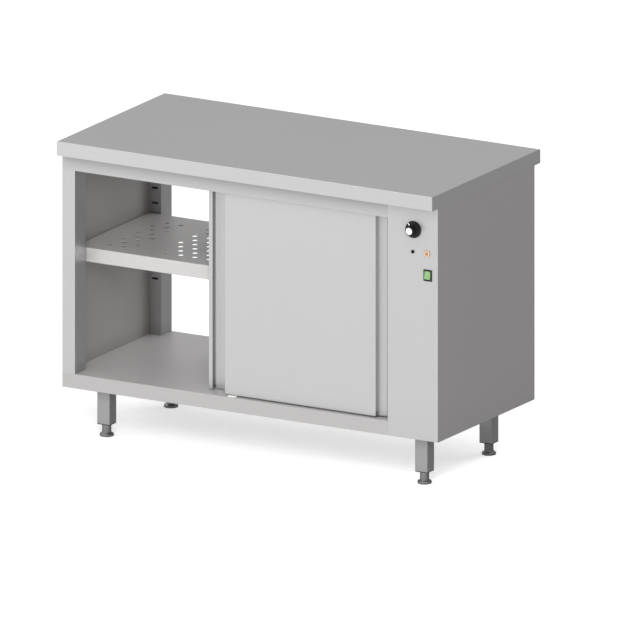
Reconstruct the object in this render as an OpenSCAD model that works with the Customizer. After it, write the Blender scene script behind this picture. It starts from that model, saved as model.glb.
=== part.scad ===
// Plate warmer cabinet: a heated pass-through cupboard in folded stainless sheet on legs.
// Millimetres. X runs to the right, Y to the rear, Z up. The origin is on the floor under the middle.

/* [Overall] */
// Width of the worktop and of the body
cabinet_w = 1200; // [1150:10:1400]
// Depth of the worktop
worktop_d = 600; // [590:5:700]
// Height of the worktop's top face
cabinet_h = 850; // [840:5:950]
// How far the worktop reaches out over the body at the front and rear
overhang = 32; // [28:1:36]
// Sheet thickness of the body
sheet = 1.2; // [1:0.1:1.5]

/* [Worktop] */
// Height of the worktop's folded edge
edge_h = 40; // [35:1:50]
// Sheet thickness of the worktop
top_sheet = 1.5; // [1.2:0.1:2]
// Width of the return under the front and rear edges
edge_return = 28; // [15:1:30]
// Outer radius of the worktop's long folds
fold_r = 2.5; // [2:0.5:4]

/* [Body] */
// Height of the body's underside above the floor
body_z = 140; // [130:5:160]
// Height of the apron below the floor sheet
apron_h = 41; // [38:1:50]
// Height of the rail above the doors
rail_h = 46; // [44:1:55]
// Width of the posts at the left of the doorways
post_w = 40; // [36:1:50]
// Depth of those posts
post_d = 58.2; // [57.8:0.1:58.8]
// Width of the technical column at the right
column_w = 160; // [150:5:200]
// Width of the folded returns along the lower edges
low_return = 24; // [15:1:26]
// Depth of the folds that frame the doorways
door_fold = 8.3; // [5:0.1:9]
// Width of the flanges that carry the column's two covers
cover_flange = 15; // [12:1:18]

/* [Doors] */
// How far a closed door reaches past the middle of the doorway
door_overlap = 33; // [25:1:45]
// Thickness of a door
door_t = 17; // [16.6:0.2:17.4]
// Sheet thickness of a door
door_sheet = 1; // [0.8:0.1:1.2]
// From the body's face back to the outer door's face
door_setback = 13; // [12.4:0.2:13.4]
// Distance between the two door lanes
lane_pitch = 26; // [25.6:0.1:26.2]
// Gap under a door
door_gap = 4; // [3:0.5:5]
// How far a door reaches up behind the rail
door_lap = 11; // [8:0.5:12]
// How far the outer door tucks in behind the column
door_tuck = 5; // [3:0.5:8]
// Clearance at a closed door's edge
stop_gap = 1; // [0.5:0.5:2]
// How far the inner doors stand open
inner_open = 404.5; // [380:0.5:420]

/* [Door grip] */
// Width of the lip outside the grip groove
lip_w = 11.8; // [10:0.2:14]
// Width of the grip groove
grip_w = 39.6; // [36:0.4:50]
// Depth of the grip groove
grip_depth = 14.5; // [12:0.1:14.6]
// Rise of the groove's floor towards the door's face
grip_rise = 1.5; // [0.5:0.5:3]

/* [Door running gear] */
// Diameter of a roller
roller_d = 20; // [18:0.5:21]
// Width of a roller
roller_w = 6; // [5:0.5:6.5]
// Diameter of a roller's pin
pin_d = 5; // [4:0.5:6]
// Radial clearance of a roller on its pin
pin_gap = 0.05; // [0.03:0.01:0.08]
// From a door's edge to its hanger
hanger_inset = 60; // [50:5:90]
// Width of the slot in a track lane
track_slot = 8; // [7:0.5:9]
// Wall thickness of a track
track_wall = 1.5; // [1.2:0.1:2]
// Gap between a door's top and its track
track_gap = 5; // [4:0.5:6]
// Width of the groove under a door
guide_slot = 6; // [5.5:0.5:7]
// Depth of the groove under a door
guide_slot_h = 12; // [10:1:15]
// Width of the door guide along the doorway
guide_w = 24; // [18:1:30]

/* [Shelf] */
// Gap between the shelf and the posts in front of it and behind it
shelf_side_gap = 4.8; // [3.8:0.1:9]
// Height of the shelf's front and rear folds
shelf_fold = 40; // [38:1:42]
// Width of the returns under those folds
shelf_return = 15; // [12:1:20]
// Clearance at the shelf's left end
shelf_gap = 2.8; // [2:0.1:4]
// Diameter of the shelf's holes
hole_d = 16; // [12:1:20]
// Distance between holes in a row
hole_pitch = 45.3; // [42:0.1:50]
// Distance between rows of holes
row_pitch = 39.2; // [36:0.1:40]
// From the shelf's left end to its first hole
hole_margin = 76.6; // [60:0.1:90]
// From the shelf's front to its first row
row_margin = 60; // [50:1:65]

/* [Shelf supports] */
// From the floor sheet up to the lowest slot in the posts
slot_rise = 161; // [120:1:170]
// Distance between slots
slot_pitch = 43.3; // [43:0.1:43.6]
// Slots in each post
slot_count = 9; // [7:1:9]
// Which slot holds the brackets, counted from the lowest
slot_used = 3; // [2:1:5]
// From a bracket's slot up to the shelf that it carries
bracket_rise = 18.1; // [16:0.1:24]
// Width of a slot
slot_w = 19; // [18:1:22]
// Height of a slot
slot_h = 6; // [5.5:0.5:7]
// Width of a shelf bracket
bracket_w = 16; // [12:1:17]
// Thickness of a shelf bracket
bracket_t = 2; // [1.5:0.1:2.2]
// Reach of a bracket under the shelf
bracket_reach = 26; // [20:1:32]
// Width of the slotted strips on the partition
strip_w = 26; // [24:1:30]
// Depth of those strips
strip_d = 10; // [8:0.5:12]

/* [Legs] */
// Width of a square leg
leg_w = 40; // [35:1:45]
// Wall thickness of a leg
leg_wall = 1.5; // [1.2:0.1:2]
// Height of a foot under the leg
foot_h = 35; // [30:1:40]
// Diameter of a foot
foot_d = 40; // [36:1:50]
// Diameter of a foot's neck
neck_d = 26; // [22:1:30]
// Diameter of a foot's spindle
spindle_d = 10; // [8:1:12]
// Radial clearance of a spindle in its insert
spindle_gap = 0.05; // [0.03:0.01:0.08]
// From the body's left side to the middle of the left legs
left_leg_inset = 106; // [80:1:130]
// From the body's right side to the middle of the right legs
right_leg_inset = 78; // [70:1:110]
// From the body's front to the middle of the front legs
front_leg_inset = 62; // [61:1:78]
// From the body's rear to the middle of the rear legs
rear_leg_inset = 118; // [61:1:128]
// Width of the plate on a leg
plate_w = 70; // [66:1:72]
// Thickness of that plate
plate_t = 4; // [3:0.5:6]

/* [Controls] */
// From the body's right side to the knob's axis
knob_inset = 78; // [70:1:85]
// From the worktop's top face down to the knob's axis
knob_drop = 109; // [100:1:115]
// Diameter of the knob's skirt
knob_d = 49; // [44:1:52]
// Diameter of the knob's grip
grip_d = 26; // [24:1:30]
// Diameter of the knob's cap
cap_d = 19.6; // [16:0.2:22]
// From the body's right side to the reset button
reset_inset = 80; // [75:1:85]
// From the worktop's top face down to the reset button and the lamp
lamp_drop = 173; // [170:1:180]
// From the body's right side to the middle of the pilot lamp
lamp_inset = 34; // [28:1:40]
// Width of the pilot lamp's lens
lamp_w = 15.6; // [14:0.2:20]
// From the body's right side to the middle of the switch
switch_inset = 32; // [28:1:40]
// From the worktop's top face down to the middle of the switch
switch_drop = 235; // [230:1:240]
// Width of the switch's frame
switch_w = 25.6; // [24:0.2:28]
// Height of the switch's frame
switch_h = 32; // [30:0.5:36]
// Tilt of the rocker either way
rocker_tilt = 8; // [6:1:10]

/* [Heating] */
// From the floor sheet up to the fan's axis
fan_rise = 154; // [150:1:170]
// Side of the fan housing
housing_w = 264; // [260:2:280]
// Depth of the fan housing
housing_d = 43; // [42:1:48]
// Diameter of the impeller
impeller_d = 140; // [120:5:150]
// Blades on the impeller
blades = 14; // [8:1:18]
// Diameter of the heating ring at the middle of its tube
ring_d = 204; // [196:2:210]
// Diameter of the heating ring's tube
tube_d = 8.5; // [6.5:0.5:10]
// Diameter of the motor
motor_d = 84; // [70:2:100]
// Length of the motor
motor_l = 60; // [50:1:80]

/* [Cable entry] */
// From the body's right side to the cable gland
gland_inset = 40; // [30:1:50]
// From the body's underside up to the cable gland
gland_rise = 65; // [60:1:75]
// Diameter of the cable gland's bore
gland_bore = 10; // [8:0.5:11]

/* [Hidden] */

$fn = 48;
eps = 0.01;
over = 1;

steel = "lightgray";
dark_steel = "darkgray";

half_w = cabinet_w / 2;
half_d = worktop_d / 2;
face = half_d - overhang;
inner_face = face - sheet;
side_in = half_w - sheet;
body_top = cabinet_h - edge_h;
roof_z = body_top - sheet;
floor_z = body_z + apron_h;
door_top_z = body_top - rail_h;
open_left = -half_w + post_w;
open_right = half_w - column_w;
door_w = (open_right - open_left) / 2 + door_overlap;

// Door lanes, counted from the body's face, and the doors in them
door_z = floor_z + door_gap;
door_h = door_top_z + door_lap - door_z;
door_right_stop = open_right + door_tuck;
door_left_stop = open_left + stop_gap;
partition_gap = 3;
partition_x = door_right_stop + partition_gap;
outer_left = door_right_stop - door_w;
inner_left = door_left_stop + inner_open;
function lane_y(lane) = -face + door_setback + door_t / 2 + lane * lane_pitch;
function door_left(lane) = lane == 0 ? outer_left : inner_left;

// Door hangers, rollers and tracks
hanger_t = 2;
hanger_base_w = 40;
hanger_base_d = 14;
hanger_eye_r = 9;
hanger_side_gap = 0.3;
roller_lift = 0.3;
door_top = door_z + door_h;
track_z = door_top + track_gap;
lip_t = 2;
lane_clear = lane_pitch - track_wall;
roller_z = track_z + lip_t + roller_lift + roller_d / 2;
track_roof = 2.8;
track_end_gap = 2;
pin_l = hanger_t / 2 + 2 * hanger_side_gap + roller_w + 1;

// Centre guide on the floor under both lanes
guide_x = (open_left + open_right) / 2 - 3;
guide_base_t = 2.5;
guide_front = 6;
guide_play = 1;
guide_rise = 8;

// Shelf, its supports and its pattern of holes
post_in = -face + post_d;
flange_out = post_in - sheet;
slot_z = floor_z + slot_rise;
shelf_low = slot_z + slot_used * slot_pitch + bracket_rise;
shelf_z = shelf_low + shelf_fold;
shelf_d = -2 * (post_in + shelf_side_gap);
shelf_left = -side_in + shelf_gap;
strip_x = partition_x - strip_d;
shelf_right = strip_x - bracket_t - 2;
shelf_l = shelf_right - shelf_left;
shelf_front = -shelf_d / 2;
shelf_end_fold = 25;
strip_y = shelf_front + strip_w / 2;
strip_top = door_top_z;
slot_edge = (post_w - slot_w) / 2;
hole_steps = floor((shelf_l - 2 * hole_margin) / hole_pitch);
hole_rows = floor((shelf_d - 2 * row_margin) / row_pitch) + 1;
band_first = 2;
band_steps = 2;
stiffener_w = 46;
stiffener_h = 18;

// Legs and feet
leg_top = body_z + sheet;
leg_left = -half_w + left_leg_inset;
leg_right = half_w - right_leg_inset;
leg_front = -face + front_leg_inset;
leg_rear = face - rear_leg_inset;
leg_xs = [leg_left, leg_right];
leg_ys = [leg_front, leg_rear];
insert_flange = 2;
insert_h = 22;
foot_disc_h = 8;
spindle_in = 40;
crossmember_w = 90;
crossmember_t = 2;
crossmember_flange = 15;

// Controls on the column's front plate
knob_x = half_w - knob_inset;
knob_z = cabinet_h - knob_drop;
reset_x = half_w - reset_inset;
lamp_x = half_w - lamp_inset;
lamp_z = cabinet_h - lamp_drop;
switch_x = half_w - switch_inset;
switch_z = cabinet_h - switch_drop;
knob_total = 26;
skirt_h = 5;
skirt_gap = 0.5;
shaft_d = 6;
shaft_gap = 0.05;
cap_t = 1.5;
thermostat_w = 50;
thermostat_h = 40;
thermostat_l = 42;
panel_hole_gap = 0.2;
bush_d = 10;
reset_d = 6.8;
reset_gap = 0.1;
reset_travel = 2;
reset_body_w = 34;
reset_body_l = 38;
reset_ring_h = 1.4;
reset_bore_l = 12;
lamp_proud = 3;
lamp_core = 9;
lamp_body = 12.8;
lamp_l = 30;
switch_proud = 2;
switch_body_w = 21.8;
switch_body_h = 28.4;
switch_l = 26;
rocker_w = 18;
rocker_r = 12.6;
rocker_face = 7;
rocker_dip = 1.8;
rocker_in = 2;
rocker_gap = 0.4;

// Fan, heating ring and their housing on the partition
partition_back = partition_x + sheet;
housing_back = partition_back + housing_d;
fan_z = floor_z + fan_rise;
ring_in = 20;
impeller_in = 10;
fan_shaft_d = 8;
fan_shaft_gap = 0.05;
impeller_h = 22;
impeller_x = partition_back + impeller_in;
impeller_disc_t = 1.5;
hub_d = 28;
blade_t = 1;
blade_lean = 35;
ring_x = partition_back + ring_in;
ring_gap_angle = 20;
motor_bore_l = 35;
motor_flange_t = 3;

// Cable gland, vents and service panel screws
gland_x = half_w - gland_inset;
gland_z = body_z + gland_rise;
vent_edge = 110;
screw_low = 55;
screw_high = 60;
gland_body_d = 20;
gland_nut_d = 27;
gland_nut_t = 5;
gland_out = 18;
gland_in = 12;
screw_d = 4;
screw_head_d = 8.5;
screw_head_t = 2.4;
screw_l = 10;
screw_hole = screw_d + 0.4;
screw_xs = [partition_back + cover_flange / 2, side_in - cover_flange / 2];
screw_zs = [floor_z + screw_low, (floor_z + body_top) / 2, body_top - screw_high];

// A box between two corners
module slab(a, b) {
    translate(a) cube(b - a);
}

// A profile drawn in Y and Z and run along X
module along_x(x0, x1) {
    translate([x0, 0, 0]) rotate([90, 0, 90]) linear_extrude(x1 - x0) children();
}

// The rear copy of a piece drawn for the front
module to_rear() {
    mirror([0, 1, 0]) children();
}

// A slot with round ends, its length along Y and its depth along X
module round_slot(l, h, t) {
    rotate([0, 90, 0]) {
        translate([0, -l / 2 + h / 2, 0]) cylinder(d = h, h = t, $fn = 24);
        translate([0, l / 2 - h / 2, 0]) cylinder(d = h, h = t, $fn = 24);
        translate([-h / 2, -l / 2 + h / 2, 0]) cube([h, l - h, t]);
    }
}

// Section of the worktop across its depth: a top face with round folds, two edges and two returns
module worktop_section(inset, below) {
    r = fold_r - inset;
    top = cabinet_h - inset;
    reach = half_d - inset;
    low = body_top - below;
    translate([-reach, low]) square([2 * reach, top - r - low]);
    translate([-reach + r, top - r - over]) square([2 * (reach - r), r + over]);
    for (side = [-1, 1]) translate([side * (reach - r), top - r]) circle(r = r);
}

module worktop() {
    color(steel) difference() {
        along_x(-half_w, half_w) worktop_section(0, 0);
        difference() {
            along_x(-half_w + top_sheet, half_w - top_sheet) worktop_section(top_sheet, over);
            for (side = [-1, 1])
                slab([-half_w, min(side * half_d, side * (half_d - edge_return)), body_top - over],
                    [half_w, max(side * half_d, side * (half_d - edge_return)), body_top + top_sheet]);
        }
        slab([-half_w + top_sheet, -half_d + edge_return, body_top - over],
            [half_w - top_sheet, half_d - edge_return, body_top + over]);
    }
}

module worktop_core() {
    core_y = half_d - edge_return - 2;
    color("burlywood") slab([-half_w + top_sheet, -core_y, body_top], [half_w - top_sheet, core_y, cabinet_h - top_sheet]);
}

module roof_panel() {
    color(steel) slab([-side_in, -inner_face, roof_z], [side_in, inner_face, body_top]);
}

// Drawn for the right; the left one is its mirror image
module side_panel() {
    color(dark_steel) {
        slab([side_in, -face, body_z], [half_w, face, body_top]);
        slab([side_in - low_return, -inner_face + low_return, body_z], [side_in + eps, inner_face - low_return, body_z + sheet]);
    }
}

module floor_pan() {
    color(steel) {
        slab([-side_in, -face, floor_z - sheet], [open_right, face, floor_z]);
        slab([open_right - eps, -inner_face, floor_z - sheet], [side_in, inner_face, floor_z]);
        for (turn = [0, 1]) mirror([0, turn, 0]) {
            slab([-side_in, -face, body_z], [open_right, -inner_face, floor_z - sheet + eps]);
            slab([-side_in, -inner_face - eps, body_z], [open_right, -inner_face + low_return, body_z + sheet]);
        }
    }
}

// Hat channels under the floor, one over each pair of legs
module base_crossmembers() {
    low = body_z + sheet;
    high = floor_z - sheet;
    color(dark_steel) for (x = leg_xs) translate([x, 0, 0]) {
        slab([-crossmember_w / 2, -inner_face, low], [crossmember_w / 2, inner_face, low + crossmember_t]);
        for (side = [0, 1]) mirror([side, 0, 0]) {
            slab([crossmember_w / 2 - crossmember_t, -inner_face, low], [crossmember_w / 2, inner_face, high]);
            slab([crossmember_w / 2 - crossmember_t, -inner_face, high - crossmember_t],
                [crossmember_w / 2 + crossmember_flange, inner_face, high]);
        }
    }
}

module top_rail() {
    color(steel) {
        slab([-side_in, -face, door_top_z], [open_right, -inner_face, body_top]);
        slab([open_left, -inner_face - eps, door_top_z], [open_right, -inner_face + door_fold, door_top_z + sheet]);
        slab([-side_in, -inner_face - eps, roof_z - sheet], [open_right, -inner_face + door_fold - 3, roof_z]);
    }
}

// Post at the left of a doorway: a face, a web and a slotted inner flange
module left_post() {
    web_x = open_left - sheet;
    color(steel) difference() {
        union() {
            slab([-side_in, -face, floor_z], [open_left, -inner_face, door_top_z]);
            slab([web_x, -face, floor_z], [open_left, post_in, door_top_z]);
            slab([web_x, -inner_face, door_top_z - eps], [open_left, post_in, roof_z - sheet]);
            slab([-side_in, flange_out, floor_z], [open_left, post_in, roof_z - sheet]);
        }
        for (k = [0 : slot_count - 1])
            slab([-half_w + slot_edge, flange_out - over, slot_z + k * slot_pitch - slot_h / 2],
                [-half_w + slot_edge + slot_w, post_in + over, slot_z + k * slot_pitch + slot_h / 2]);
    }
}

// Slotted strip on the partition, which carries the shelf's right end
module shelf_strip() {
    y0 = strip_y - strip_w / 2;
    y1 = strip_y + strip_w / 2;
    color(steel) difference() {
        slab([strip_x, y0, floor_z], [partition_x, y1, strip_top]);
        slab([strip_x + sheet, y0 + sheet, floor_z - over], [partition_x + over, y1 - sheet, strip_top + over]);
        for (k = [0 : slot_count - 1])
            slab([strip_x - over, strip_y - slot_w / 2, slot_z + k * slot_pitch - slot_h / 2],
                [strip_x + sheet + over, strip_y + slot_w / 2, slot_z + k * slot_pitch + slot_h / 2]);
    }
}

// Wall between the chamber and the column, with the fan's inlet grille and four outlets
module chamber_partition() {
    inlet_r = impeller_d / 2 - 6;
    inlet_pitch = 13;
    inlet_rows = floor(inlet_r / inlet_pitch);
    outlet_trim = 32;
    outlet_l = housing_w / 2 - outlet_trim;
    color(steel) difference() {
        union() {
            slab([partition_x, -inner_face, floor_z], [partition_back, inner_face, roof_z]);
            for (turn = [0, 1]) mirror([0, turn, 0])
                slab([partition_back - eps, -inner_face, floor_z], [partition_back + cover_flange, -inner_face + sheet, roof_z]);
        }
        translate([partition_x - over, 0, fan_z]) {
            for (k = [-inlet_rows : inlet_rows])
                translate([0, 0, k * inlet_pitch])
                    round_slot(2 * sqrt(inlet_r * inlet_r - pow(k * inlet_pitch, 2)), 6, sheet + 2 * over);
            for (turn = [0 : 90 : 270], k = [0 : 1])
                rotate([turn, 0, 0]) translate([0, 0, inlet_r + 22 + k * inlet_pitch])
                    round_slot(outlet_l, 6, sheet + 2 * over);
        }
        cover_screw_holes(-inner_face - over);
        cover_screw_holes(inner_face - sheet - over);
    }
}

// Holes for the cover screws through one pair of flanges
module cover_screw_holes(y) {
    for (x = screw_xs, z = screw_zs)
        translate([x, y, z]) rotate([-90, 0, 0]) cylinder(d = screw_hole, h = sheet + 2 * over, $fn = 24);
}

// Front plate of the column with its cut-outs for the controls
module control_panel() {
    color(steel) difference() {
        union() {
            slab([open_right, -face, body_z], [side_in, -inner_face, body_top]);
            slab([open_right, -inner_face - eps, floor_z], [open_right + sheet, -inner_face + door_fold + 1, door_top_z]);
            slab([open_right, -inner_face - eps, body_z], [side_in, -inner_face + low_return, body_z + sheet]);
        }
        translate([knob_x, -face - over, knob_z]) rotate([-90, 0, 0]) cylinder(d = bush_d + 2 * panel_hole_gap, h = sheet + 2 * over);
        translate([reset_x, -face - over, lamp_z]) rotate([-90, 0, 0]) cylinder(d = bush_d - 1 + 2 * panel_hole_gap, h = sheet + 2 * over);
        window(lamp_x, lamp_z, lamp_body, lamp_body);
        window(switch_x, switch_z, switch_body_w, switch_body_h);
    }
}

// Square cut-out through the front plate
module window(x, z, w, h) {
    slab([x - w / 2 - panel_hole_gap, -face - over, z - h / 2 - panel_hole_gap],
        [x + w / 2 + panel_hole_gap, -inner_face + over, z + h / 2 + panel_hole_gap]);
}

// Rear cover of the column with two fields of vent slots
module rear_service_panel() {
    vent_l = column_w / 2;
    vent_pitch = 12;
    color(steel) difference() {
        union() {
            slab([open_right, inner_face, body_z], [side_in, face, body_top]);
            slab([open_right, inner_face - door_fold - 1, floor_z], [open_right + sheet, inner_face + eps, door_top_z]);
            slab([open_right, inner_face - low_return, body_z], [side_in, inner_face + eps, body_z + sheet]);
        }
        for (z = [floor_z + vent_edge, door_top_z - vent_edge], k = [0 : 6])
            translate([(partition_x + half_w) / 2, inner_face - over, z + k * vent_pitch])
                rotate([0, 0, 90]) mirror([0, 1, 0]) round_slot(vent_l, 5, sheet + 2 * over);
        cover_screw_holes(inner_face - over);
        translate([gland_x, inner_face - over, gland_z]) rotate([-90, 0, 0]) cylinder(d = gland_body_d + 2 * panel_hole_gap, h = sheet + 2 * over);
    }
}

// Two-lane track: each lane is a channel with a slot in its floor
module door_track() {
    mid = (lane_y(0) + lane_y(1)) / 2;
    w = 2 * lane_pitch + track_wall;
    color("silver") along_x(open_left + track_end_gap, partition_x - track_end_gap) difference() {
        translate([mid - w / 2, track_z]) square([w, roof_z - track_z]);
        for (lane = [0, 1]) {
            translate([lane_y(lane) - lane_clear / 2, track_z + lip_t]) square([lane_clear, roof_z - track_roof - track_z - lip_t]);
            translate([lane_y(lane) - track_slot / 2, track_z - over]) square([track_slot, lip_t + 2 * over]);
        }
    }
}

// Nylon guide with one fin for each lane
module door_guide() {
    fin_t = guide_slot - 2 * guide_play;
    color("white") {
        slab([guide_x - guide_w / 2, -face + guide_front, floor_z], [guide_x + guide_w / 2, lane_y(1) + door_t / 2 + 3, floor_z + guide_base_t]);
        for (lane = [0, 1])
            slab([guide_x - guide_w / 2, lane_y(lane) - fin_t / 2, floor_z], [guide_x + guide_w / 2, lane_y(lane) + fin_t / 2, door_z + guide_rise]);
    }
}

module door_guides() {
    door_guide();
    to_rear() door_guide();
}

// Section of the grip groove: a cove by the lip, a floor that rises a little and a square wall
module grip_section(grow) {
    cove_x = lip_w + grip_depth;
    translate([cove_x, 0]) circle(r = grip_depth + grow);
    polygon([[cove_x, -over], [cove_x, grip_depth + grow], [lip_w + grip_w + grow, grip_depth - grip_rise + grow],
        [lip_w + grip_w + grow, -over]]);
}

// A door's outline and its hollow, seen from above with the grip at the left
module door_outline() {
    difference() {
        square([door_w, door_t]);
        grip_section(0);
    }
}

module door_hollow() {
    difference() {
        translate([door_sheet, door_sheet]) square([door_w - 2 * door_sheet, door_t - 2 * door_sheet]);
        grip_section(door_sheet);
    }
}

// A double-skin door in its own place: grip at the left, front face on Y = 0, foot on Z = 0
module door_body() {
    difference() {
        linear_extrude(door_h) door_outline();
        difference() {
            translate([0, 0, door_sheet]) linear_extrude(door_h - 2 * door_sheet) door_hollow();
            slab([-over, door_t / 2 - guide_slot / 2 - door_sheet, -over],
                [door_w + over, door_t / 2 + guide_slot / 2 + door_sheet, guide_slot_h + door_sheet]);
        }
        slab([-over, door_t / 2 - guide_slot / 2, -over], [door_w + over, door_t / 2 + guide_slot / 2, guide_slot_h]);
    }
}

// Lane 0 is the outer lane, with its grip at the right; lane 1 is the inner one
module door(lane) {
    color(steel) translate([door_left(lane), lane_y(lane) - door_t / 2, door_z])
        if (lane == 0) translate([door_w, 0, 0]) mirror([1, 0, 0]) door_body();
        else door_body();
}

function hanger_x(lane, side) = side == 0 ? door_left(lane) + hanger_inset : door_left(lane) + door_w - hanger_inset;

// Hanger with its foot on the door, an upright through the track's slot and a pin for the roller
module hanger(lane, side) {
    translate([hanger_x(lane, side), lane_y(lane), 0]) {
        slab([-hanger_base_w / 2, -hanger_base_d / 2, door_top], [hanger_base_w / 2, hanger_base_d / 2, door_top + hanger_t]);
        slab([-hanger_eye_r, -hanger_t / 2, door_top], [hanger_eye_r, hanger_t / 2, roller_z]);
        translate([0, hanger_t / 2, roller_z]) rotate([90, 0, 0]) cylinder(r = hanger_eye_r, h = hanger_t);
        translate([0, 0, roller_z]) rotate([-90, 0, 0]) cylinder(d = pin_d, h = pin_l);
    }
}

module hangers(lane) {
    color("gray") for (side = [0, 1]) hanger(lane, side);
}

// Grooved nylon roller on its pin
module roller(lane, side) {
    bore_r = pin_d / 2 + pin_gap;
    rim = 2;
    web = 1.5;
    rim_r = roller_d / 2;
    color("ivory") translate([hanger_x(lane, side), lane_y(lane) + hanger_t / 2 + hanger_side_gap, roller_z]) rotate([-90, 0, 0])
        rotate_extrude() polygon([[bore_r, 0], [bore_r + rim, 0], [bore_r + rim, web], [rim_r - rim, web], [rim_r - rim, 0],
            [rim_r - 0.5, 0], [rim_r, 0.5], [rim_r, roller_w - 0.5], [rim_r - 0.5, roller_w], [rim_r - rim, roller_w],
            [rim_r - rim, roller_w - web], [bore_r + rim, roller_w - web], [bore_r + rim, roller_w], [bore_r, roller_w]]);
}

// Holes of one shelf row; the two plain bands lie over the stiffeners
module shelf_row(row) {
    odd = row % 2;
    last = hole_steps - odd;
    for (k = [0 : last]) {
        step = k + odd / 2;
        from_end = min(step, hole_steps - step);
        if (from_end < band_first || from_end > band_first + band_steps - 1)
            translate([shelf_left + hole_margin + step * hole_pitch, shelf_front + row_margin + row * row_pitch, shelf_z - sheet - over])
                cylinder(d = hole_d, h = sheet + 2 * over);
    }
}

// Folded shelf: deep folds with returns at front and rear, low folds at the ends, two stiffeners
module shelf() {
    band_x = hole_margin + (band_first + band_steps / 2 - 0.75) * hole_pitch;
    back = -shelf_front;
    color(steel) difference() {
        union() {
            slab([shelf_left, shelf_front, shelf_z - sheet], [shelf_right, back, shelf_z]);
            for (turn = [0, 1]) mirror([0, turn, 0]) {
                slab([shelf_left, shelf_front, shelf_low], [shelf_right, shelf_front + sheet, shelf_z]);
                slab([shelf_left, shelf_front, shelf_low], [shelf_right, shelf_front + shelf_return, shelf_low + sheet]);
            }
            for (x = [shelf_left, shelf_right - sheet])
                slab([x, shelf_front, shelf_z - shelf_end_fold], [x + sheet, back, shelf_z]);
            for (x = [shelf_left + band_x, shelf_left + hole_margin + hole_steps * hole_pitch - band_x + hole_margin])
                translate([x, 0, 0]) shelf_stiffener(back - sheet);
        }
        for (row = [0 : hole_rows - 1]) shelf_row(row);
    }
}

// Channel welded under a plain band of the shelf
module shelf_stiffener(reach) {
    top = shelf_z - sheet;
    half = stiffener_w / 2 - hole_d / 2;
    for (side = [-1, 1])
        translate([side * half - sheet / 2, -reach - eps, top - stiffener_h]) cube([sheet, 2 * (reach + eps), stiffener_h + eps]);
    translate([-half, -reach - eps, top - stiffener_h]) cube([2 * half, 2 * (reach + eps), sheet]);
}

// Bracket drawn against a wall at Y = 0: its hook goes through a slot, its tab carries the shelf
module shelf_bracket() {
    z = slot_z + slot_used * slot_pitch;
    hook_t = 4;
    hook_drop = 9;
    low = z - 10;
    translate([-bracket_w / 2, 0, 0]) {
        slab([0, 0, low], [bracket_w, bracket_t, shelf_low]);
        slab([0, 0, shelf_low - bracket_t], [bracket_w, bracket_reach, shelf_low]);
        slab([0, -sheet - bracket_t, z - hook_t / 2], [bracket_w, eps, z + hook_t / 2]);
        slab([0, -sheet - bracket_t, z - hook_drop], [bracket_w, -sheet - 0.2, z + hook_t / 2]);
    }
}

module shelf_brackets() {
    color("gainsboro") for (turn = [0, 1]) mirror([0, turn, 0]) {
        translate([-half_w + post_w / 2, post_in, 0]) shelf_bracket();
        translate([strip_x, strip_y, 0]) rotate([0, 0, 90]) shelf_bracket();
    }
}

// Square tube leg with its top plate
module leg(x, y) {
    top = leg_top - plate_t;
    low = foot_h + insert_flange;
    bore = leg_w - 2 * leg_wall;
    corner = 3;
    color(steel) translate([x, y, 0]) {
        difference() {
            translate([0, 0, low]) linear_extrude(top - low + eps) rounded_square(leg_w, corner);
            translate([0, 0, low - over]) linear_extrude(top - low + over) rounded_square(bore, corner - leg_wall);
        }
        translate([-plate_w / 2, -plate_w / 2, top]) cube([plate_w, plate_w, plate_t]);
    }
}

// Square with round corners
module rounded_square(w, r) {
    flat = w - 2 * r;
    square([w, flat], center = true);
    square([flat, w], center = true);
    for (x = [-1, 1], y = [-1, 1]) translate([x * flat / 2, y * flat / 2]) circle(r = r, $fn = 32);
}

// Plastic plug in the foot of a leg, with the bore for the spindle
module leg_insert(x, y) {
    bore = leg_w - 2 * leg_wall;
    translate([x, y, foot_h]) difference() {
        union() {
            linear_extrude(insert_flange) rounded_square(leg_w, 3);
            translate([0, 0, insert_flange - eps]) linear_extrude(insert_h) rounded_square(bore, 3 - leg_wall);
        }
        translate([0, 0, -over]) cylinder(d = spindle_d + 2 * spindle_gap, h = insert_h + insert_flange + 2 * over);
    }
}

module leg_inserts() {
    color("dimgray") for (x = leg_xs, y = leg_ys) leg_insert(x, y);
}

// Levelling foot: a disc, a flared neck and a spindle
module foot(x, y) {
    disc_r = foot_d / 2;
    neck_r = neck_d / 2;
    flare = 5;
    color("silver") translate([x, y, 0]) rotate_extrude()
        polygon(concat(
            [[0, 0], [disc_r - 1, 0], [disc_r, 1], [disc_r, foot_disc_h - 2], [disc_r - 1.5, foot_disc_h]],
            [for (a = [0 : 15 : 90]) [neck_r + flare * (1 - sin(a)), foot_disc_h + flare * (1 - cos(a))]],
            [[neck_r, foot_h], [spindle_d / 2, foot_h], [spindle_d / 2, foot_h + spindle_in - 1],
            [spindle_d / 2 - 1, foot_h + spindle_in], [0, foot_h + spindle_in]]));
}

// Things on the front plate are drawn on an axis along Z and turned to face the front
module on_plate(x, z) {
    translate([x, -face, z]) rotate([90, 0, 0]) children();
}

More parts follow.
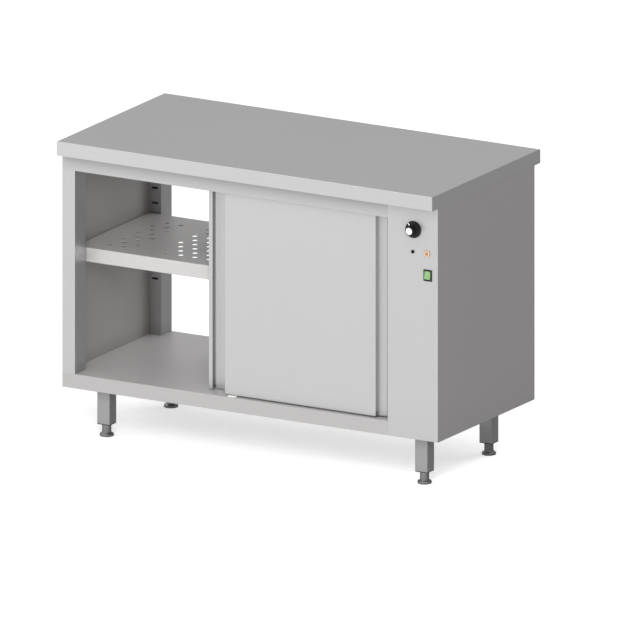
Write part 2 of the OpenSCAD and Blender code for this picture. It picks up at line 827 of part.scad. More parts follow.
// Knob with a skirt, a ribbed grip and the spindle that goes into the thermostat
module thermostat_knob() {
    ribs = 18;
    grip_top = knob_total - cap_t;
    color("#1c1c1e") on_plate(knob_x, knob_z) {
        difference() {
            union() {
                translate([0, 0, skirt_gap]) cylinder(d1 = knob_d, d2 = knob_d - 3, h = skirt_h - skirt_gap);
                translate([0, 0, skirt_h - eps]) cylinder(d1 = grip_d + 3, d2 = grip_d, h = 3);
                translate([0, 0, skirt_h]) cylinder(d = grip_d, h = grip_top - skirt_h);
            }
            for (k = [0 : ribs - 1]) rotate([0, 0, k * 360 / ribs])
                translate([grip_d / 2 + 0.6, 0, skirt_h + 3]) cylinder(d = 2.4, h = knob_total, $fn = 16);
        }
        translate([0, 0, -thermostat_l / 2]) cylinder(d = shaft_d, h = thermostat_l / 2 + skirt_h);
    }
}

module knob_cap() {
    color("white") on_plate(knob_x, knob_z) translate([0, 0, knob_total - cap_t]) {
        cylinder(d = cap_d, h = cap_t - 0.5);
        translate([0, 0, cap_t - 0.5 - eps]) cylinder(d1 = cap_d, d2 = cap_d - 1, h = 0.5 + eps);
    }
}

module thermostat() {
    color("tan") on_plate(knob_x, knob_z) difference() {
        union() {
            translate([-thermostat_w / 2, -thermostat_h / 2, -sheet - thermostat_l]) cube([thermostat_w, thermostat_h, thermostat_l]);
            translate([0, 0, -sheet - eps]) cylinder(d = bush_d, h = sheet + eps);
        }
        translate([0, 0, -sheet - thermostat_l + 5]) cylinder(d = shaft_d + 2 * shaft_gap, h = thermostat_l + 5);
    }
}

module reset_thermostat() {
    color("tan") on_plate(reset_x, lamp_z) difference() {
        union() {
            translate([-reset_body_w / 2, -reset_body_w / 2, -sheet - reset_body_l]) cube([reset_body_w, reset_body_w, reset_body_l]);
            translate([0, 0, -sheet - eps]) cylinder(d = bush_d - 1, h = sheet + eps);
            cylinder(d = bush_d, h = reset_ring_h);
        }
        translate([0, 0, -sheet - reset_bore_l]) cylinder(d = reset_d + 2 * reset_gap, h = sheet + reset_bore_l + reset_ring_h + over);
    }
}

module reset_button() {
    color("#1c1c1e") on_plate(reset_x, lamp_z) {
        translate([0, 0, -sheet - reset_bore_l + reset_travel + 0.5]) cylinder(d = reset_d, h = sheet + reset_bore_l + 1);
        translate([0, 0, 1]) intersection() {
            cylinder(d = reset_d, h = 3);
            translate([0, 0, -4.5]) sphere(r = 7.2);
        }
    }
}

// Square lens with a raised core, and its body behind the plate
module pilot_lamp() {
    color("orangered") on_plate(lamp_x, lamp_z) {
        difference() {
            hull() {
                translate([-lamp_w / 2, -lamp_w / 2, 0]) cube([lamp_w, lamp_w, lamp_proud - 1]);
                translate([-lamp_w / 2 + 1, -lamp_w / 2 + 1, 0]) cube([lamp_w - 2, lamp_w - 2, lamp_proud]);
            }
            translate([-lamp_core / 2, -lamp_core / 2, lamp_proud - 0.8]) cube([lamp_core, lamp_core, 2]);
        }
        translate([-lamp_body / 2, -lamp_body / 2, -lamp_l]) cube([lamp_body, lamp_body, lamp_l + eps]);
        for (x = [-3, 3]) translate([x - 0.4, -2.4, -lamp_l - 7]) cube([0.8, 4.8, 7 + eps]);
    }
}

// Frame round the rocker, open in front, with its body behind the plate
module switch_frame() {
    open_w = rocker_w + 2 * rocker_gap;
    open_h = 2 * (rocker_r + rocker_gap);
    color("#1c1c1e") on_plate(switch_x, switch_z) {
        difference() {
            union() {
                translate([-switch_w / 2, -switch_h / 2, 0]) cube([switch_w, switch_h, switch_proud]);
                translate([-switch_body_w / 2, -switch_body_h / 2, -switch_l]) cube([switch_body_w, switch_body_h, switch_l + eps]);
            }
            translate([-open_w / 2, -open_h / 2, -rocker_in]) cube([open_w, open_h, 20]);
            translate([-open_w / 2, 0, -rocker_in]) rotate([0, 90, 0]) cylinder(r = rocker_r + rocker_gap, h = open_w);
        }
        for (y = [-8, 0, 8]) translate([-3.2, y - 0.4, -switch_l - 8]) cube([6.4, 0.8, 8 + eps]);
    }
}

// Rocker: a shallow V on a round base, tilted so that its upper half is pressed
module rocker_switch() {
    color("green") on_plate(switch_x, switch_z) translate([0, 0, -rocker_in]) rotate([-rocker_tilt, 0, 0])
        translate([-rocker_w / 2, 0, 0]) rotate([90, 0, 90]) linear_extrude(rocker_w) intersection() {
            circle(r = rocker_r);
            polygon([[-rocker_r, -3], [rocker_r, -3], [rocker_r, rocker_face], [0, rocker_face - rocker_dip], [-rocker_r, rocker_face]]);
        }
}

// Sheet box behind the partition, open towards it, with a flange all round
module fan_housing() {
    half = housing_w / 2;
    rim = 12;
    color(dark_steel) translate([0, 0, fan_z]) difference() {
        union() {
            slab([partition_back, -half, -half], [housing_back, half, half]);
            slab([partition_back, -half - rim, -half - rim], [partition_back + sheet, half + rim, half + rim]);
        }
        slab([partition_back - over, -half + sheet, -half + sheet], [housing_back - sheet, half - sheet, half - sheet]);
        translate([housing_back - sheet - over, 0, 0]) rotate([0, 90, 0]) cylinder(d = hub_d + 4, h = sheet + 2 * over);
    }
}

// Motor on the back of the housing, with its cooling ribs and the bore for the shaft
module fan_motor() {
    ribs = 24;
    color("dimgray") translate([housing_back, 0, fan_z]) rotate([0, 90, 0]) difference() {
        union() {
            cylinder(d = motor_d + 24, h = motor_flange_t);
            translate([0, 0, motor_flange_t - eps]) cylinder(d = motor_d - 6, h = motor_l - motor_flange_t);
            for (k = [0 : ribs - 1]) rotate([0, 0, k * 360 / ribs])
                translate([motor_d / 2 - 5, -1, motor_flange_t - eps]) cube([5, 2, motor_l - 12]);
        }
        translate([0, 0, -over]) cylinder(d = fan_shaft_d + 2 * fan_shaft_gap, h = motor_bore_l);
    }
}

// Radial impeller with its shaft
module fan_impeller() {
    back = impeller_x + impeller_h;
    blade_l = (impeller_d - hub_d) / 2 - 12;
    color("silver") translate([0, 0, fan_z]) {
        translate([back - impeller_disc_t, 0, 0]) rotate([0, 90, 0]) cylinder(d = impeller_d, h = impeller_disc_t);
        translate([back - 14, 0, 0]) rotate([0, 90, 0]) cylinder(d = hub_d, h = 14);
        translate([back - 14, 0, 0]) rotate([0, 90, 0]) cylinder(d = fan_shaft_d, h = housing_back - back + 14 + motor_bore_l - 3);
        for (k = [0 : blades - 1]) rotate([k * 360 / blades, 0, 0])
            translate([impeller_x, 0, hub_d / 2 + 8]) rotate([blade_lean, 0, 0])
                translate([0, -blade_t / 2, 0]) cube([impeller_h - impeller_disc_t + eps, blade_t, blade_l]);
    }
}

// Ring element round the impeller, with two legs to its flange on the partition
module heating_element() {
    r = ring_d / 2;
    color("saddlebrown") translate([0, 0, fan_z]) {
        translate([ring_x, 0, 0]) rotate([90 + ring_gap_angle / 2, 0, 0]) rotate([0, 90, 0])
            rotate_extrude(angle = 360 - ring_gap_angle) translate([r, 0]) circle(d = tube_d, $fn = 24);
        for (side = [-1, 1]) rotate([180 + side * ring_gap_angle / 2, 0, 0]) translate([partition_back, 0, r])
            rotate([0, 90, 0]) cylinder(d = tube_d, h = ring_x - partition_back);
    }
}

// Gland in the rear service panel, with a hexagon outside and a nut inside
module cable_gland() {
    color("black") translate([gland_x, 0, gland_z]) rotate([-90, 0, 0]) difference() {
        union() {
            translate([0, 0, face]) cylinder(d = gland_nut_d, h = gland_nut_t, $fn = 6);
            translate([0, 0, face + gland_nut_t - eps]) cylinder(d1 = gland_body_d + 2, d2 = gland_body_d - 4, h = gland_out - gland_nut_t);
            translate([0, 0, inner_face - gland_in]) cylinder(d = gland_body_d, h = gland_in + sheet + eps);
            translate([0, 0, inner_face - gland_nut_t]) cylinder(d = gland_nut_d, h = gland_nut_t, $fn = 6);
        }
        translate([0, 0, inner_face - gland_in - over]) cylinder(d = gland_bore, h = gland_in + gland_out + sheet + 2 * over);
    }
}

// Pan-head screws of the rear service panel
module panel_screws() {
    color("silver") for (x = screw_xs, z = screw_zs) translate([x, face, z]) rotate([-90, 0, 0]) {
        cylinder(d1 = screw_head_d, d2 = screw_head_d - 2.5, h = screw_head_t);
        translate([0, 0, -screw_l]) cylinder(d = screw_d, h = screw_l + eps, $fn = 24);
    }
}

worktop();
worktop_core();
roof_panel();
mirror([1, 0, 0]) side_panel();  // left_side_panel
side_panel();  // right_side_panel
floor_pan();
base_crossmembers();
top_rail();  // front_top_rail
to_rear() top_rail();  // rear_top_rail
left_post();  // front_left_post
to_rear() left_post();  // rear_left_post
shelf_strip();  // front_shelf_strip
to_rear() shelf_strip();  // rear_shelf_strip
chamber_partition();
control_panel();
rear_service_panel();
door_track();  // front_door_track
to_rear() door_track();  // rear_door_track
door_guides();
leg(leg_left, leg_front);  // front_left_leg
leg(leg_right, leg_front);  // front_right_leg
leg(leg_left, leg_rear);  // rear_left_leg
leg(leg_right, leg_rear);  // rear_right_leg
leg_inserts();
foot(leg_left, leg_front);  // front_left_foot
foot(leg_right, leg_front);  // front_right_foot
foot(leg_left, leg_rear);  // rear_left_foot
foot(leg_right, leg_rear);  // rear_right_foot
shelf();
shelf_brackets();
thermostat();
thermostat_knob();
knob_cap();
reset_thermostat();
reset_button();
pilot_lamp();
switch_frame();
rocker_switch();
fan_housing();
fan_motor();
fan_impeller();
heating_element();
cable_gland();
panel_screws();
door(0);  // front_outer_door
door(1);  // front_inner_door
to_rear() door(0);  // rear_outer_door
to_rear() door(1);  // rear_inner_door
hangers(0);  // front_outer_hangers
hangers(1);  // front_inner_hangers
to_rear() hangers(0);  // rear_outer_hangers
to_rear() hangers(1);  // rear_inner_hangers
roller(0, 0);  // front_outer_left_roller
roller(0, 1);  // front_outer_right_roller
roller(1, 0);  // front_inner_left_roller
roller(1, 1);  // front_inner_right_roller
to_rear() roller(0, 0);  // rear_outer_left_roller
to_rear() roller(0, 1);  // rear_outer_right_roller
to_rear() roller(1, 0);  // rear_inner_left_roller
to_rear() roller(1, 1);  // rear_inner_right_roller
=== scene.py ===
"""Looks of a plate warmer cabinet: its finishes, its small fittings, a camera and a plain studio.

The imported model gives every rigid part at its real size. This script dresses those parts in
procedural finishes, adds the small pieces that are too fine for the construction, and sets a
camera at the photograph's viewing angle. Lengths are metres unless a name says otherwise.
"""

from __future__ import annotations

import logging
import math
from dataclasses import dataclass, field
from enum import Enum
from typing import Any, Sequence

import bmesh
import bpy
from mathutils import Matrix, Vector

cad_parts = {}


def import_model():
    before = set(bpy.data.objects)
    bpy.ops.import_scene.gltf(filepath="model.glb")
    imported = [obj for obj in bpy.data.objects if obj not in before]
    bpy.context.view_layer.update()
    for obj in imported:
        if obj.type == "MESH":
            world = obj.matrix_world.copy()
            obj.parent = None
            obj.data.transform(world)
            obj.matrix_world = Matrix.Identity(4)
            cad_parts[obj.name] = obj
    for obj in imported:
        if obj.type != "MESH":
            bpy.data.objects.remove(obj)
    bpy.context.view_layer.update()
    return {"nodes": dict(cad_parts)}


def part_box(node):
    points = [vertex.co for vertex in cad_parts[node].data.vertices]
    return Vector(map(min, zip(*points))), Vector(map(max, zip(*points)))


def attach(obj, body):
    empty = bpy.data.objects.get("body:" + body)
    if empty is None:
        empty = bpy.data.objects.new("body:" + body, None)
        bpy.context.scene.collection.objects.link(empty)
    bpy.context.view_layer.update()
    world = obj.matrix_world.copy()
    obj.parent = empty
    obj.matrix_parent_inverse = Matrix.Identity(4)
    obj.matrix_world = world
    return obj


LOG = logging.getLogger("plate_warmer")
MM = 0.001
Colour = tuple[float, float, float]


class Axis(Enum):
    """Direction of a satin finish's brush lines."""

    X = 0
    Y = 1
    Z = 2


class Sock:
    """A node's output socket, or a number, with arithmetic that adds Math nodes."""

    def __init__(self, graph: "Graph", value: Any) -> None:
        """Keeps the socket and the graph that it belongs to.

        Args:
            graph: the node graph that new nodes go into.
            value: an output socket.
        """
        self.graph = graph
        self.value = value

    def _op(self, operation: str, first: Any, second: Any) -> "Sock":
        """Adds one Math node.

        Args:
            operation: the Math node's operation.
            first: the first operand.
            second: the second operand.

        Returns:
            The node's result.
        """
        return self.graph.add("ShaderNodeMath", {"operation": operation}, {0: first, 1: second})

    def __add__(self, other: Any) -> "Sock":
        """Returns the sum."""
        return self._op("ADD", self, other)

    def __radd__(self, other: Any) -> "Sock":
        """Returns the sum, reflected."""
        return self._op("ADD", other, self)

    def __sub__(self, other: Any) -> "Sock":
        """Returns the difference."""
        return self._op("SUBTRACT", self, other)

    def __rsub__(self, other: Any) -> "Sock":
        """Returns the difference, reflected."""
        return self._op("SUBTRACT", other, self)

    def __mul__(self, other: Any) -> "Sock":
        """Returns the product."""
        return self._op("MULTIPLY", self, other)

    def __rmul__(self, other: Any) -> "Sock":
        """Returns the product, reflected."""
        return self._op("MULTIPLY", other, self)

    def either(self, other: "Sock") -> "Sock":
        """Returns the larger of this value and another."""
        return self._op("MAXIMUM", self, other)

    def clamp(self) -> "Sock":
        """Returns this value kept between 0 and 1."""
        return self.graph.add("ShaderNodeClamp", {}, {0: self})


class Graph:
    """Adds nodes to one node tree."""

    def __init__(self, tree: bpy.types.NodeTree) -> None:
        """Keeps the tree.

        Args:
            tree: the tree that nodes go into.
        """
        self.tree = tree

    def add(self, kind: str, settings: dict[str, Any], inputs: dict[Any, Any], output: Any = 0) -> Sock:
        """Adds a node of any type.

        Args:
            kind: the node's type.
            settings: attributes of the node, set first; "stops" fills a colour ramp.
            inputs: values or links for its input sockets, by name or number.
            output: which output socket to give back, or None for a node that ends its tree.

        Returns:
            The chosen output.
        """
        node = self.tree.nodes.new(kind)
        for key, value in settings.items():
            if key == "stops":
                self._fill_ramp(node, value)
            else:
                setattr(node, key, value)
        for key, value in inputs.items():
            self._feed(node.inputs[key], value)
        return Sock(self, None if output is None else node.outputs[output])

    def _fill_ramp(self, node: Any, stops: Sequence[tuple[float, Colour]]) -> None:
        """Writes a colour ramp's stops.

        Args:
            node: the colour ramp.
            stops: pairs of position and colour, in order.
        """
        elements = node.color_ramp.elements
        while len(elements) < len(stops):
            elements.new(0.5)
        for element, (position, colour) in zip(elements, stops):
            element.position = position
            element.color = (*colour, 1.0)

    def _feed(self, socket: Any, value: Any) -> None:
        """Links or sets one input socket.

        Args:
            socket: the input.
            value: a Sock, a number or a colour.
        """
        if isinstance(value, Sock):
            self.tree.links.new(value.value, socket)
        elif socket.type == "RGBA" and len(value) == 3:
            socket.default_value = (*value, 1.0)
        else:
            socket.default_value = value

    def ramp(self, value: Sock, start: float, end: float, low: float, high: float) -> Sock:
        """Fades from one value to another as a third one grows.

        Args:
            value: what the fade follows.
            start: where the fade starts.
            end: where it ends.
            low: the result before the start.
            high: the result past the end.

        Returns:
            The result.
        """
        span = {"From Min": start, "From Max": end, "To Min": low, "To Max": high}
        return self.add("ShaderNodeMapRange", {"interpolation_type": "SMOOTHSTEP"}, {"Value": value, **span})

    def part(self, vector: Sock, axis: str) -> Sock:
        """Returns one coordinate of a vector."""
        return self.add("ShaderNodeSeparateXYZ", {}, {0: vector}, axis)

    def ray(self, kind: str) -> Sock:
        """Returns 1 for rays of one kind, by the light path's socket name."""
        return self.add("ShaderNodeLightPath", {}, {}, kind)

    def mix(self, factor: Sock, low: Sock, high: Sock) -> Sock:
        """Returns a mix of two shaders; a factor of 1 gives the second."""
        return self.add("ShaderNodeMixShader", {}, {0: factor, 1: low, 2: high})


class Paint(Graph):
    """Builds one node-based material."""

    def __init__(self, name: str) -> None:
        """Starts a material with a Principled shader.

        Args:
            name: the material's name.
        """
        self.material = bpy.data.materials.new(name)
        self.material.use_nodes = True
        super().__init__(self.material.node_tree)
        self.shader = self.tree.nodes["Principled BSDF"]

    def set(self, **values: Any) -> None:
        """Sets or links the Principled shader's inputs.

        Args:
            values: socket names with underscores for spaces, and their values.
        """
        for key, value in values.items():
            self._feed(self.shader.inputs[key.replace("_", " ")], value)

    def place(self, scale: Sequence[float], offset: Sequence[float] = (0.0, 0.0, 0.0)) -> Sock:
        """Object coordinates, stretched.

        Args:
            scale: how much to multiply each axis by.
            offset: what to add afterwards.

        Returns:
            The stretched coordinates.
        """
        where = self.add("ShaderNodeTexCoord", {}, {}, "Object")
        values = {"Vector": where, "Scale": tuple(scale), "Location": tuple(offset)}
        return self.add("ShaderNodeMapping", {}, values)

    def noise(self, vector: Sock, scale: float, detail: float = 4.0, rough: float = 0.5) -> Sock:
        """A noise texture's value.

        Args:
            vector: where to read it.
            scale: its scale.
            detail: its octaves.
            rough: how strong the fine octaves are.

        Returns:
            The noise, from 0 to 1.
        """
        values = {"Vector": vector, "Scale": scale, "Detail": detail, "Roughness": rough}
        return self.add("ShaderNodeTexNoise", {"noise_dimensions": "3D"}, values, "Fac")

    def blend(self, factor: Any, low: Any, high: Any) -> Sock:
        """Mixes two colours.

        Args:
            factor: 0 gives the first and 1 the second.
            low: the first colour.
            high: the second colour.

        Returns:
            The mixed colour.
        """
        node = self.tree.nodes.new("ShaderNodeMix")
        node.data_type = "RGBA"
        for index, value in ((0, factor), (6, low), (7, high)):
            self._feed(node.inputs[index], value)
        return Sock(self, node.outputs[2])

    def bump(self, height: Sock, strength: float, distance: float, normal: Sock | None = None) -> Sock:
        """A bumped normal.

        Args:
            height: the height pattern.
            strength: from 0 to 1.
            distance: the pattern's real height.
            normal: a normal to bump, if not the surface's own.

        Returns:
            The normal.
        """
        values: dict[Any, Any] = {"Height": height, "Strength": strength, "Distance": distance}
        if normal is not None:
            values["Normal"] = normal
        return self.add("ShaderNodeBump", {}, values)

    def painted_corner_shade(self, reach: float, depth: float) -> Sock:
        """A factor of painted shade that darkens the base colour in folds and corners, as far as they are
        closed in.

        Args:
            reach: how far away a neighbouring surface still counts.
            depth: how dark a closed corner gets, from 0 to 1.

        Returns:
            1 on an open surface, and less in a corner.
        """
        open_share = self.add("ShaderNodeAmbientOcclusion", {"samples": 6}, {"Distance": reach}, "AO")
        return 1.0 - depth * (1.0 - open_share)

    def soft_edges(self, radius: float) -> Sock:
        """A normal that rounds sharp edges, as a press brake or a mould leaves them.

        Args:
            radius: the edges' radius.

        Returns:
            The normal.
        """
        return self.add("ShaderNodeBevel", {"samples": 4}, {"Radius": radius})


@dataclass(frozen=True)
class SatinSteel:
    """Stainless sheet with a fine satin grain.

    The grain is a noise that is stretched along the brush lines. Two reaches of painted shade darken the
    base colour in the corners. A sheet with a skin depth is dull inside the chamber and bright past that
    depth, front and rear.
    """

    name: str
    grain: Axis
    base: float = 0.6
    rough: float = 0.36
    edge: float = 1.4 * MM
    near_shade: float = 0.35
    wide_shade: float = 0.2
    metal: float = 0.9
    relief: float = 0.035
    tint: Colour = (1.0, 1.0, 1.0)
    skin: float = 0.0
    skin_metal: float = 0.9
    fine_lines: float = 900.0
    fine_length: float = 9.0
    broad_lines: float = 60.0
    broad_length: float = 1.2
    near_reach: float = 45 * MM
    wide_reach: float = 280 * MM
    line_height: float = 0.05 * MM
    # Near-black colour that the painted corner shade darkens the base colour towards.
    painted_shade_colour: Colour = (0.02, 0.018, 0.016)
    contrast: float = 0.03

    def make(self) -> bpy.types.Material:
        """Returns the material."""
        paint = Paint(self.name)
        streaks = paint.noise(paint.place(self.stretch(self.fine_lines, self.fine_length)), 1.0, 3.0, 0.6)
        broad = self.stretch(self.broad_lines, self.broad_length)
        bands = paint.noise(paint.place(broad, (3.1, 1.7, 0.4)), 1.0, 2.0)
        clouds = paint.noise(paint.place((1.0, 1.0, 1.0)), 2.6, 3.0)
        dark = tuple((1 - self.contrast) * self.base * c for c in self.tint)
        light = tuple((1 + self.contrast) * self.base * c for c in self.tint)
        plain = paint.blend((0.45 * streaks + 0.35 * bands + 0.2 * clouds).clamp(), dark, light)
        # Painted shade: folds, corners and faces under overhangs get a darker base colour where other
        # surfaces close them in.
        near = paint.painted_corner_shade(self.near_reach, self.near_shade)
        shade = near * paint.painted_corner_shade(self.wide_reach, self.wide_shade)
        colour = paint.blend(shade, self.painted_shade_colour, plain)
        roughness = self.rough - 0.06 + 0.07 * streaks + 0.05 * clouds
        normal = paint.bump(streaks, self.relief, self.line_height, paint.soft_edges(self.edge))
        paint.set(Base_Color=colour, Metallic=self.metal_share(paint), Roughness=roughness, Normal=normal)
        return paint.material

    def stretch(self, lines: float, length: float) -> list[float]:
        """Scales a pattern so that it runs along the brush lines.

        Args:
            lines: its scale across the lines.
            length: its scale along them.

        Returns:
            The scale on each axis.
        """
        scale = [lines, lines, lines]
        scale[self.grain.value] = length
        return scale

    def metal_share(self, paint: Paint) -> float | Sock:
        """Makes a sheet dull in the chamber and bright on its front and rear faces.

        Args:
            paint: the material's builder.

        Returns:
            How metallic the sheet is, as a number or a value that changes with depth.
        """
        if self.skin == 0.0:
            return self.metal
        deep = paint.part(paint.place((1.0, 1.0, 1.0)), "Y")
        start = (self.skin - 1.0 * MM) ** 2
        end = self.skin**2
        return paint.ramp(deep * deep, start, end, self.metal, self.skin_metal)


@dataclass(frozen=True)
class Plastic:
    """Moulded plastic with a fine grained skin."""

    name: str
    colour: Colour
    rough: float = 0.4
    grain: float = 1800.0
    relief: float = 0.02 * MM
    edge: float = 0.4 * MM
    coat: float = 0.0
    shine: float = 0.5

    def make(self) -> bpy.types.Material:
        """Returns the material."""
        paint = Paint(self.name)
        skin = paint.noise(paint.place((1.0, 1.0, 1.0)), self.grain, 2.0)
        dust = paint.noise(paint.place((1.0, 1.0, 1.0)), 55.0, 4.0)
        pale = tuple(0.95 * c + 0.012 for c in self.colour)
        colour = paint.blend((dust - 0.35).clamp(), self.colour, pale)
        roughness = self.rough - 0.05 + 0.1 * dust
        normal = paint.bump(skin, 0.25, self.relief, paint.soft_edges(self.edge))
        paint.set(Base_Color=colour, Roughness=roughness, Normal=normal, Coat_Weight=self.coat)
        paint.set(Specular_IOR_Level=self.shine)
        return paint.material


@dataclass(frozen=True)
class Lens:
    """Translucent coloured plastic, lit from inside by a faint glow."""

    name: str
    colour: Colour
    glow: float = 0.12

    def make(self) -> bpy.types.Material:
        """Returns the material."""
        paint = Paint(self.name)
        clouds = paint.noise(paint.place((1.0, 1.0, 1.0)), 240.0, 2.0)
        deep = tuple(0.75 * c for c in self.colour)
        colour = paint.blend(clouds, deep, self.colour)
        normal = paint.soft_edges(0.5 * MM)
        paint.set(Base_Color=colour, Roughness=0.16 + 0.06 * clouds, Normal=normal, Emission_Color=colour)
        paint.set(Emission_Strength=self.glow, Coat_Weight=0.5)
        return paint.material


@dataclass(frozen=True)
class CastMetal:
    """Turned, plated or painted metal of the small fittings."""

    name: str
    colour: Colour
    metallic: float = 1.0
    rough: float = 0.28
    grain: float = 700.0

    def make(self) -> bpy.types.Material:
        """Returns the material."""
        paint = Paint(self.name)
        speckle = paint.noise(paint.place((1.0, 1.0, 1.0)), self.grain, 3.0)
        clouds = paint.noise(paint.place((1.0, 1.0, 1.0)), 40.0, 3.0)
        dark = tuple(0.8 * c for c in self.colour)
        colour = paint.blend((0.5 * speckle + 0.5 * clouds).clamp(), dark, self.colour)
        roughness = self.rough - 0.05 + 0.12 * clouds
        normal = paint.bump(speckle, 0.1, 0.02 * MM, paint.soft_edges(0.5 * MM))
        paint.set(Base_Color=colour, Metallic=self.metallic, Roughness=roughness, Normal=normal)
        return paint.material


@dataclass(frozen=True)
class HeatTint:
    """Element sheath, tinted straw to brown along its length by heat."""

    name: str

    def make(self) -> bpy.types.Material:
        """Returns the material."""
        paint = Paint(self.name)
        bands = paint.noise(paint.place((1.0, 1.0, 1.0)), 26.0, 3.0)
        stops = [(0.3, (0.12, 0.09, 0.075)), (0.55, (0.27, 0.19, 0.13)), (0.8, (0.36, 0.29, 0.2))]
        tint = paint.add("ShaderNodeValToRGB", {"stops": stops}, {"Fac": bands}, "Color")
        normal = paint.bump(bands, 0.1, 0.05 * MM)
        paint.set(Base_Color=tint, Metallic=0.7, Roughness=0.4 + 0.15 * bands, Normal=normal)
        return paint.material


@dataclass(frozen=True)
class CoreBoard:
    """Pressed chipboard of the worktop's core."""

    name: str

    def make(self) -> bpy.types.Material:
        """Returns the material."""
        paint = Paint(self.name)
        where = paint.place((1.0, 1.0, 3.0))
        chips = paint.add("ShaderNodeTexVoronoi", {}, {"Vector": where, "Scale": 260.0}, "Color")
        shade = paint.add("ShaderNodeRGBToBW", {}, {"Color": chips})
        colour = paint.blend(shade, (0.36, 0.26, 0.16), (0.62, 0.49, 0.33))
        paint.set(Base_Color=colour, Roughness=0.7 + 0.15 * shade, Normal=paint.bump(shade, 0.3, 0.2 * MM))
        return paint.material


class Steel(Enum):
    """The satin steel finishes, by the direction of their grain."""

    # Strong painted corner shade darkens the rails under the worktop's overhang.
    ALONG = SatinSteel("steel_along", Axis.X, base=0.58, near_shade=0.8, wide_shade=0.35)
    SIDE = SatinSteel("steel_side", Axis.Y, tint=(1.01, 0.98, 0.985))
    ACROSS = SatinSteel("steel_across", Axis.Y)
    UPRIGHT = SatinSteel("steel_upright", Axis.Z)
    # A darker base colour than the body's steel and strong painted corner shade: painted shade for the legs
    # under the body.
    LEG = SatinSteel("steel_leg", Axis.Z, base=0.47, near_shade=0.5, wide_shade=0.45)
    DOOR = SatinSteel("steel_door", Axis.Z, base=0.605, rough=0.33, near_shade=0.2)
    TOP = SatinSteel("steel_top", Axis.X, rough=0.32, edge=2.2 * MM)
    # A lower base colour than the outer steel: painted shade for the inside of the chamber.
    WALL = SatinSteel(
        "steel_wall",
        Axis.Z,
        base=0.46,
        rough=0.44,
        wide_shade=0.05,
        metal=0.6,
        relief=0.015,
        tint=(1.025, 0.995, 0.98),
    )
    FLOOR = SatinSteel(
        "steel_floor",
        Axis.X,
        base=0.56,
        rough=0.4,
        edge=2.2 * MM,
        near_shade=0.1,
        wide_shade=0.0,
        metal=0.3,
        relief=0.015,
        tint=(1.015, 0.995, 0.99),
        skin=267.5 * MM,
    )
    SHELF = SatinSteel(
        "steel_shelf",
        Axis.X,
        base=0.54,
        rough=0.4,
        near_shade=0.1,
        wide_shade=0.0,
        metal=0.3,
        relief=0.015,
        tint=(1.015, 0.995, 0.985),
    )


class Trim(Enum):
    """The other finishes."""

    NYLON = Plastic("white_nylon", (0.82, 0.82, 0.79), rough=0.5)
    BLACK = Plastic("black_plastic", (0.008, 0.008, 0.009), rough=0.45, shine=0.25)
    CAP = Plastic("pale_cap", (0.86, 0.86, 0.86), rough=0.24, coat=0.4, relief=0.004 * MM)
    MARK = Plastic("white_mark", (0.85, 0.85, 0.83), rough=0.5, edge=0.1 * MM)
    RING = Plastic("grey_ring", (0.3, 0.3, 0.3), rough=0.4, edge=0.1 * MM)
    CONTROL = Plastic("control_body", (0.5, 0.44, 0.34), rough=0.5)
    ORANGE = Lens("orange_lens", (0.66, 0.44, 0.28), glow=0.06)
    AMBER_CORE = Lens("lamp_core", (0.3, 0.17, 0.1), glow=0.05)
    GREEN = Lens("green_rocker", (0.2, 0.37, 0.15), glow=0.1)
    ALUMINIUM = CastMetal("track_aluminium", (0.66, 0.66, 0.67), rough=0.38)
    FOOT = CastMetal("foot_metal", (0.3, 0.3, 0.31), rough=0.24)
    MOTOR = CastMetal("motor_iron", (0.06, 0.06, 0.065), metallic=0.2, rough=0.5)
    SHEATH = HeatTint("element_sheath")
    BOARD = CoreBoard("core_board")


class Workshop:
    """Makes each finish once and hands it out."""

    def __init__(self) -> None:
        """Starts with no finish made."""
        self.made: dict[str, bpy.types.Material] = {}

    def finish(self, choice: Steel | Trim) -> bpy.types.Material:
        """Makes a finish, or gives the one already made.

        Args:
            choice: which finish.

        Returns:
            Its material.
        """
        if choice.name not in self.made:
            self.made[choice.name] = choice.value.make()
        return self.made[choice.name]

    def dress(self, thing: bpy.types.Object, choice: Steel | Trim) -> None:
        """Puts one finish on a whole object.

        Args:
            thing: the object.
            choice: the finish.
        """
        thing.data.materials.clear()
        thing.data.materials.append(self.finish(choice))


class Shape:
    """A bmesh that becomes one piece of the object."""

    def __init__(self, name: str) -> None:
        """Starts an empty mesh.

        Args:
            name: the piece's name.
        """
        self.name = name
        self.bm = bmesh.new()

    def block(self, low: Vector, high: Vector) -> list[Any]:
        """Adds a box between two corners.

        Args:
            low: the lowest corner.
            high: the highest corner.

        Returns:
            Its vertices.
        """
        made = bmesh.ops.create_cube(self.bm, size=1.0)["verts"]
        bmesh.ops.scale(self.bm, vec=high - low, verts=made)
        bmesh.ops.translate(self.bm, vec=(low + high) / 2, verts=made)
        return made

    def round_edges(self, width: float, segments: int = 2) -> None:
        """Bevels every sharp edge.

        Args:
            width: the bevel's width.
            segments: its steps.
        """
        limit = math.radians(30)
        closed = [edge for edge in self.bm.edges if len(edge.link_faces) == 2]
        edges = [edge for edge in closed if edge.calc_face_angle() > limit]
        bmesh.ops.bevel(
            self.bm, geom=edges, offset=width, segments=segments, profile=0.5, affect="EDGES", material=-1
        )

    def finish(self, body: str, workshop: Workshop, choice: Steel | Trim, slot: str) -> bpy.types.Object:
        """Turns the mesh into an object that rides on a body.

        Args:
            body: the moving body's name.
            workshop: where finishes come from.
            choice: the finish.
            slot: the record's material slot; not used.

        Returns:
            The object.
        """
        bmesh.ops.recalc_face_normals(self.bm, faces=self.bm.faces)
        mesh = bpy.data.meshes.new(self.name)
        self.bm.to_mesh(mesh)
        self.bm.free()
        made = bpy.data.objects.new(self.name, mesh)
        bpy.context.scene.collection.objects.link(made)
        workshop.dress(made, choice)
        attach(made, body)
        LOG.info("piece %s rides on %s", self.name, body)
        return made


